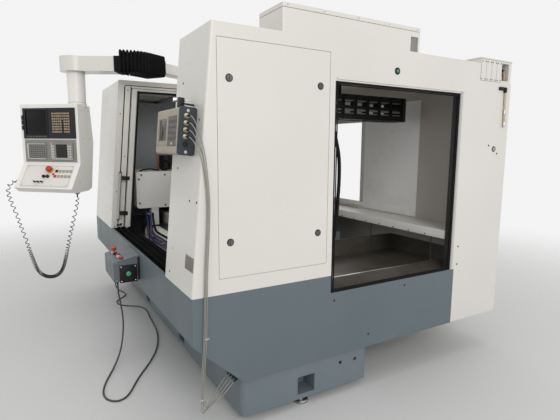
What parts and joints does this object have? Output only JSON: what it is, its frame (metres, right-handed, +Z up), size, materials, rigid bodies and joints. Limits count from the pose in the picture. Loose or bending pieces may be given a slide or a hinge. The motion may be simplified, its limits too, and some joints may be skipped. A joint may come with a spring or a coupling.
{
  "type": "cnc cylindrical grinder",
  "caption": "Enclosed cylindrical grinding machine with a telescopic sliding door, a work table, a wheelhead, and an operator pendant on a swinging arm.",
  "frame": {"origin": "middle of the footprint at floor level, without the free cords", "axes": "+X to the machine's right end with the access panel, +Y to the rear, +Z up; the operator stands at -Y"},
  "size_m": [3.2459, 3.3971, 2.397],
  "materials": {
    "white_paint": "smooth white enamel",
    "inner_paint": "light grey enamel inside the work area",
    "wall_paint": "off-white enamel of the rear wall",
    "grey_paint": "blue-grey enamel of the skirt",
    "bed_paint": "blue-grey enamel over cast iron",
    "dark_paint": "dark grey enamel",
    "tray_paint": "oily grey sheet",
    "machined": "machined cast iron",
    "steel": "brushed steel",
    "handle_metal": "satin anodised bar",
    "seal_rubber": "black rubber",
    "bellows_rubber": "matt black folded cloth and rubber",
    "black_plastic": "matt black plastic",
    "bezel": "dark grey moulding",
    "panel_grey": "mid grey enamel",
    "desk_face": "white laminated plate",
    "red_plastic": "red button",
    "green_plastic": "green button",
    "box_paint": "blue-grey enamel box",
    "gauge_plastic": "light grey moulding",
    "gauge_blue": "blue-grey end plate",
    "abrasive": "vitrified abrasive",
    "cable_grey": "light grey cable sheath",
    "cable_black": "black cable sheath"
  },
  "bodies": {
    "enclosure": {"machine_bed": "bed_paint", "levelling_feet": "steel", "right_skirt": "grey_paint", "front_skirt": "grey_paint", "right_column": "white_paint", "access_panel": "white_paint", "side_frame": "white_paint", "side_seal": "seal_rubber", "rear_side_panel": "white_paint", "roof_panel": "white_paint", "roof_hood": "white_paint", "rear_cabinet": "white_paint", "end_cover_plates": "white_paint", "left_cover": "white_paint", "door_sill": "dark_paint", "door_rail": "steel", "inner_left_wall": "dark_paint", "rear_wall": "wall_paint", "chip_tray": "tray_paint", "cable_chain": "black_plastic", "arm_post": "white_paint", "control_box": "box_paint", "gauge_case": "gauge_plastic", "gauge_side": "gauge_blue", "gauge_cable_1": "cable_grey", "gauge_cable_2": "cable_grey", "gauge_cable_3": "cable_grey", "gauge_cable_4": "cable_grey", "floor_cable": "cable_black"},
    "upper_front_latch": {"latch_upper_front": "steel"},
    "upper_rear_latch": {"latch_upper_rear": "steel"},
    "lower_front_latch": {"latch_lower_front": "steel"},
    "lower_rear_latch": {"latch_lower_rear": "steel"},
    "side_push": {"side_button": "green_plastic"},
    "lock_barrel": {"panel_lock": "steel"},
    "trailing_door": {"trail_leaf": "white_paint"},
    "leading_door": {"lead_leaf": "white_paint", "door_lip": "seal_rubber", "door_handle": "handle_metal"},
    "table": {"work_table": "machined", "workhead": "inner_paint", "workhead_cover": "inner_paint", "tailstock": "inner_paint"},
    "spindle": {"work_spindle": "steel"},
    "quill": {"tailstock_quill": "steel"},
    "wheel_carriage": {"wheel_slide": "machined", "wheelhead": "inner_paint", "wheel_guard": "inner_paint"},
    "wheel": {"grinding_wheel": "abrasive"},
    "arm_inner": {"inner_arm": "white_paint", "arm_bellows": "bellows_rubber"},
    "arm_outer": {"outer_arm": "white_paint"},
    "pendant": {"pendant_housing": "white_paint", "display_unit": "bezel", "lower_panel": "panel_grey", "desk_plate": "desk_face", "curly_cord": "cable_black"},
    "pendant_stop_head": {"pendant_stop": "red_plastic"},
    "box_stop_head": {"control_stop": "red_plastic"},
    "box_start": {"start_button": "green_plastic"}
  },
  "joints": [
    {"name": "upper_front_latch_turn", "type": "hinge", "parent": "enclosure", "child": "upper_front_latch", "pos_m": [1.61, -0.673, 1.942], "axis": [1, 0, 0], "range_deg": [0, 90]},
    {"name": "upper_rear_latch_turn", "type": "hinge", "parent": "enclosure", "child": "upper_rear_latch", "pos_m": [1.61, -0.109, 1.942], "axis": [1, 0, 0], "range_deg": [0, 90]},
    {"name": "lower_front_latch_turn", "type": "hinge", "parent": "enclosure", "child": "lower_front_latch", "pos_m": [1.61, -0.673, 1.097], "axis": [1, 0, 0], "range_deg": [0, 90]},
    {"name": "lower_rear_latch_turn", "type": "hinge", "parent": "enclosure", "child": "lower_rear_latch", "pos_m": [1.61, -0.109, 1.097], "axis": [1, 0, 0], "range_deg": [0, 90]},
    {"name": "side_button_press", "type": "slide", "parent": "enclosure", "child": "side_push", "axis": [-1, 0, 0], "range_m": [0, 0.004], "stiffness_N_per_m": 800},
    {"name": "lock_turn", "type": "hinge", "parent": "enclosure", "child": "lock_barrel", "pos_m": [1.61, 1.512, 1.595], "axis": [1, 0, 0], "range_deg": [0, 90]},
    {"name": "door_slide", "type": "slide", "parent": "enclosure", "child": "leading_door", "axis": [1, 0, 0], "range_m": [0, 1.7544]},
    {"name": "trailing_door_slide", "type": "slide", "parent": "enclosure", "child": "trailing_door", "axis": [1, 0, 0], "range_m": [0, 0.8772]},
    {"name": "table_traverse", "type": "slide", "parent": "enclosure", "child": "table", "axis": [1, 0, 0], "range_m": [-0.1, 0.34]},
    {"name": "work_spindle_turn", "type": "hinge", "parent": "table", "child": "spindle", "pos_m": [-0.69, -0.152, 1.18], "axis": [1, 0, 0], "continuous": true},
    {"name": "quill_retract", "type": "slide", "parent": "table", "child": "quill", "axis": [1, 0, 0], "range_m": [0, 0.04], "stiffness_N_per_m": 3000},
    {"name": "wheel_infeed", "type": "slide", "parent": "enclosure", "child": "wheel_carriage", "axis": [0, -1, 0], "range_m": [0, 0.2]},
    {"name": "grinding_wheel_spin", "type": "hinge", "parent": "wheel_carriage", "child": "wheel", "pos_m": [-0.25, 0.348, 1.18], "axis": [1, 0, 0], "continuous": true},
    {"name": "arm_swing", "type": "hinge", "parent": "enclosure", "child": "arm_inner", "pos_m": [-0.854, 0.158, 2.25], "axis": [0, 0, 1], "range_deg": [-20, 5]},
    {"name": "arm_elbow_turn", "type": "hinge", "parent": "arm_inner", "child": "arm_outer", "pos_m": [-0.313, -0.71, 2.31], "axis": [0, 0, 1], "range_deg": [-8, 35], "deforming": ["arm_bellows"]},
    {"name": "pendant_swivel", "type": "hinge", "parent": "arm_outer", "child": "pendant", "pos_m": [-0.562, -1.141, 2.221], "axis": [0, 0, 1], "range_deg": [-25, 45]},
    {"name": "pendant_stop_press", "type": "slide", "parent": "pendant", "child": "pendant_stop_head", "axis": [-0.6193, 0.5775, -0.5318], "range_m": [0, 0.004]},
    {"name": "box_stop_press", "type": "slide", "parent": "enclosure", "child": "box_stop_head", "axis": [0, 0, -1], "range_m": [0, 0.004]},
    {"name": "box_start_press", "type": "slide", "parent": "enclosure", "child": "box_start", "axis": [-1, 0, 0], "range_m": [0, 0.004], "stiffness_N_per_m": 800}
  ],
  "couplings": [
    {"joint": "trailing_door_slide", "follows": "door_slide", "ratio": 0.5}
  ]
}
